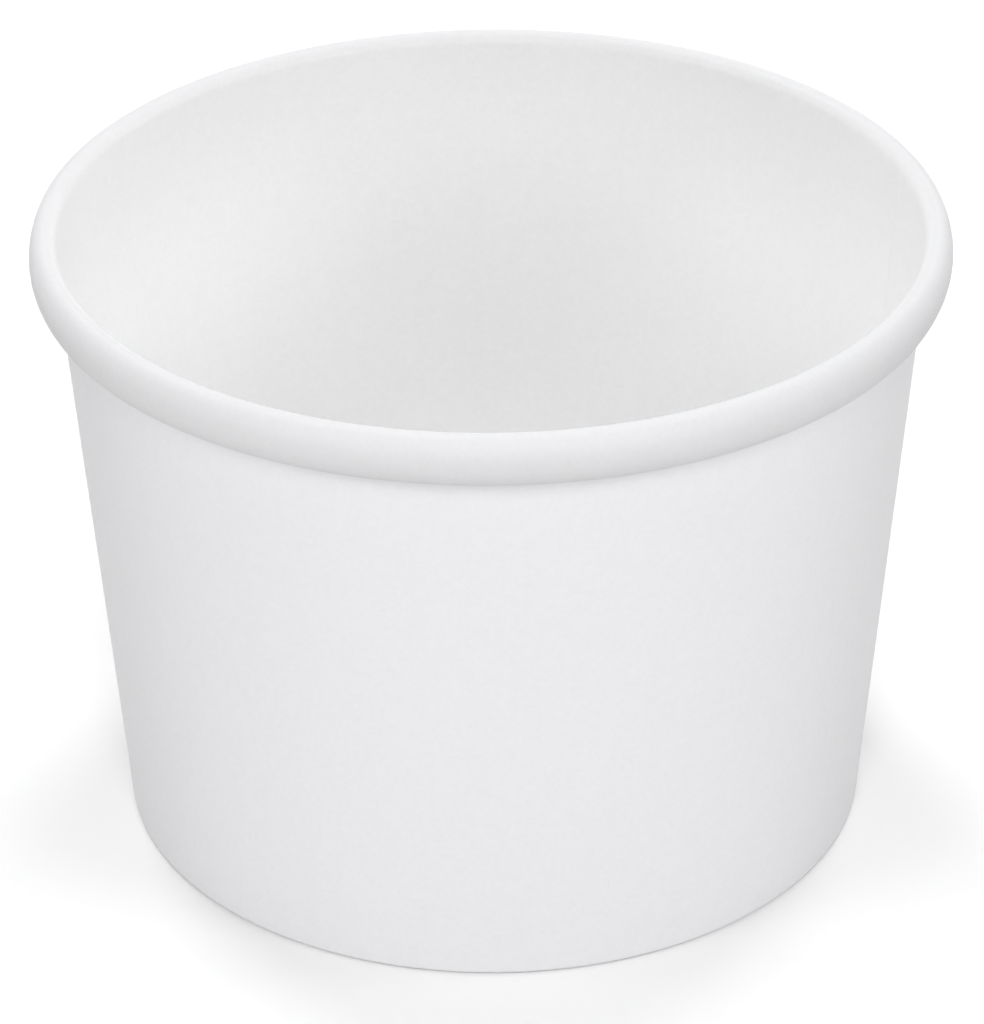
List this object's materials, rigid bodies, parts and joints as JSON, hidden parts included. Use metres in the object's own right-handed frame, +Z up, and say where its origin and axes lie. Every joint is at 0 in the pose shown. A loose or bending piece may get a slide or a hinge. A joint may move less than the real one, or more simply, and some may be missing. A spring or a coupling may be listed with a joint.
{
  "type": "paper sundae cup",
  "caption": "Plain white paper sundae cup: tapered board wall with a rolled rim and lapped side seam, hemmed round a recessed bottom disc.",
  "frame": {"origin": "centre of the foot, on the surface that the cup stands on", "axes": "+Z up along the axis of the cup, -Y towards the viewer of the picture, the side seam just behind +X"},
  "size_m": [0.09, 0.09, 0.0635],
  "materials": {
    "wall_board": "matte white coated board",
    "bottom_board": "matte white coated board"
  },
  "bodies": {
    "root": {"side_wall": "wall_board", "bottom_disc": "bottom_board"}
  },
  "joints": []
}
